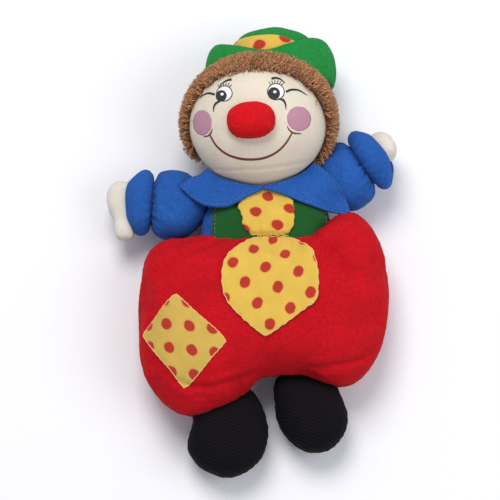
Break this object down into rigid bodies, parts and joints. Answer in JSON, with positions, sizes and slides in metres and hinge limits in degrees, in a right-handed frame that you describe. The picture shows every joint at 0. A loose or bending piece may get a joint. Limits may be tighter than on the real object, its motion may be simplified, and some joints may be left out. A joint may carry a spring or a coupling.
{
  "type": "hand puppet",
  "caption": "Plush clown glove puppet, lying face up: stuffed ball head on a finger tunnel, open hand pouch in the trousers, soft arms and shoes that swing, turned-up hat.",
  "frame": {"origin": "middle of the flat resting face at the back of the trousers", "axes": "+Y from the feet to the head, +Z out of the face and chest, +X to the right of a viewer who looks at the face with the head up"},
  "size_m": [0.1922, 0.2987, 0.0986],
  "materials": {
    "red_velour": "matte",
    "blue_jersey": "matte",
    "hat_felt": "matte",
    "bib_cotton": "matte",
    "dotted_cotton": "matte",
    "face_fleece": "matte",
    "hand_fleece": "matte",
    "fur_plush": "matte",
    "nose_fleece": "matte",
    "black_velour": "matte",
    "lining_cotton": "matte",
    "fibre_fill": "matte",
    "blue_thread": "matte",
    "yellow_thread": "matte"
  },
  "bodies": {
    "body": {"trousers_front": "red_velour", "trousers_back": "red_velour", "trousers_stuffing": "fibre_fill", "hand_lining": "lining_cotton", "hem_band": "red_velour", "trouser_patch": "dotted_cotton", "shirt_front": "blue_jersey", "shirt_back": "blue_jersey", "bib": "bib_cotton", "tie_knot": "dotted_cotton", "tie_gather_thread": "yellow_thread"},
    "neck": {"neck_tube": "face_fleece"},
    "neck_seam": {"neck_gather": "blue_thread"},
    "head": {"face": "face_fleece", "chin": "face_fleece", "head_back": "fur_plush", "hair": "fur_plush", "head_stuffing": "fibre_fill", "head_finger_sleeve": "lining_cotton", "nose_cover": "nose_fleece", "nose_stuffing": "fibre_fill", "hat_brim": "hat_felt", "hat_crown": "hat_felt", "hat_stuffing": "fibre_fill", "hat_band": "dotted_cotton"},
    "collar_flap_left": {"collar_left": "blue_jersey"},
    "collar_flap_right": {"collar_right": "blue_jersey"},
    "tie_end": {"tie_blade": "dotted_cotton"},
    "shoulder_left": {"armhole_gather_left": "blue_thread"},
    "arm_left": {"sleeve_left": "blue_jersey", "wrist_gather_left": "blue_thread"},
    "wrist_left": {"cuff_left": "blue_jersey", "hand_left": "hand_fleece", "hand_stuffing_left": "fibre_fill"},
    "foot_left": {"shoe_upper_left": "black_velour", "shoe_sole_left": "black_velour", "shoe_stuffing_left": "fibre_fill"},
    "shoulder_right": {"armhole_gather_right": "blue_thread"},
    "arm_right": {"sleeve_right": "blue_jersey", "wrist_gather_right": "blue_thread"},
    "wrist_right": {"cuff_right": "blue_jersey", "hand_right": "hand_fleece", "hand_stuffing_right": "fibre_fill"},
    "foot_right": {"shoe_upper_right": "black_velour", "shoe_sole_right": "black_velour", "shoe_stuffing_right": "fibre_fill"}
  },
  "joints": [
    {"name": "head_tilt", "type": "hinge", "parent": "body", "child": "neck", "pos_m": [-0.0005, 0.083, 0.036], "axis": [0, 0, 1], "range_deg": [-5, 5]},
    {"name": "head_nod", "type": "hinge", "parent": "neck", "child": "neck_seam", "pos_m": [-0.0005, 0.083, 0.036], "axis": [1, 0, 0], "range_deg": [0, 16]},
    {"name": "head_turn", "type": "hinge", "parent": "neck_seam", "child": "head", "pos_m": [-0.0005, 0.083, 0.036], "axis": [0, 1, 0], "range_deg": [-15, 15]},
    {"name": "arm_raise_left", "type": "hinge", "parent": "body", "child": "shoulder_left", "pos_m": [-0.041, 0.072, 0.0235], "axis": [0, 0, 1], "range_deg": [-18, 3]},
    {"name": "arm_swing_left", "type": "hinge", "parent": "shoulder_left", "child": "arm_left", "pos_m": [-0.041, 0.072, 0.0235], "axis": [0.0872, 0.9962, 0], "range_deg": [0, 35]},
    {"name": "wrist_bend_left", "type": "hinge", "parent": "arm_left", "child": "wrist_left", "pos_m": [-0.07208, 0.07472, 0.0235], "axis": [0.0872, 0.9962, 0], "range_deg": [0, 18]},
    {"name": "arm_raise_right", "type": "hinge", "parent": "body", "child": "shoulder_right", "pos_m": [0.0404, 0.0825, 0.0235], "axis": [0, 0, 1], "range_deg": [-28, 2]},
    {"name": "arm_swing_right", "type": "hinge", "parent": "shoulder_right", "child": "arm_right", "pos_m": [0.0404, 0.0825, 0.0235], "axis": [0.5446, -0.8387, 0], "range_deg": [0, 28]},
    {"name": "wrist_bend_right", "type": "hinge", "parent": "arm_right", "child": "wrist_right", "pos_m": [0.06617, 0.09923, 0.02892], "axis": [0.5446, -0.8387, 0], "range_deg": [0, 18]},
    {"name": "foot_swing_left", "type": "hinge", "parent": "body", "child": "foot_left", "pos_m": [-0.022, -0.058, 0.029], "axis": [-1, 0, 0], "range_deg": [0, 65]},
    {"name": "foot_swing_right", "type": "hinge", "parent": "body", "child": "foot_right", "pos_m": [0.031, -0.058, 0.029], "axis": [-1, 0, 0], "range_deg": [0, 65]},
    {"name": "collar_lift_left", "type": "hinge", "parent": "body", "child": "collar_flap_left", "pos_m": [-0.018, 0.0845, 0.0507], "axis": [-0.9227, 0.3856, 0], "range_deg": [0, 20]},
    {"name": "collar_lift_right", "type": "hinge", "parent": "body", "child": "collar_flap_right", "pos_m": [0.019, 0.0855, 0.0507], "axis": [-0.932, -0.3624, 0], "range_deg": [0, 12]},
    {"name": "tie_lift", "type": "hinge", "parent": "body", "child": "tie_end", "pos_m": [0.006, 0.047, 0.0499], "axis": [-1, 0, 0], "range_deg": [0, 90]}
  ]
}
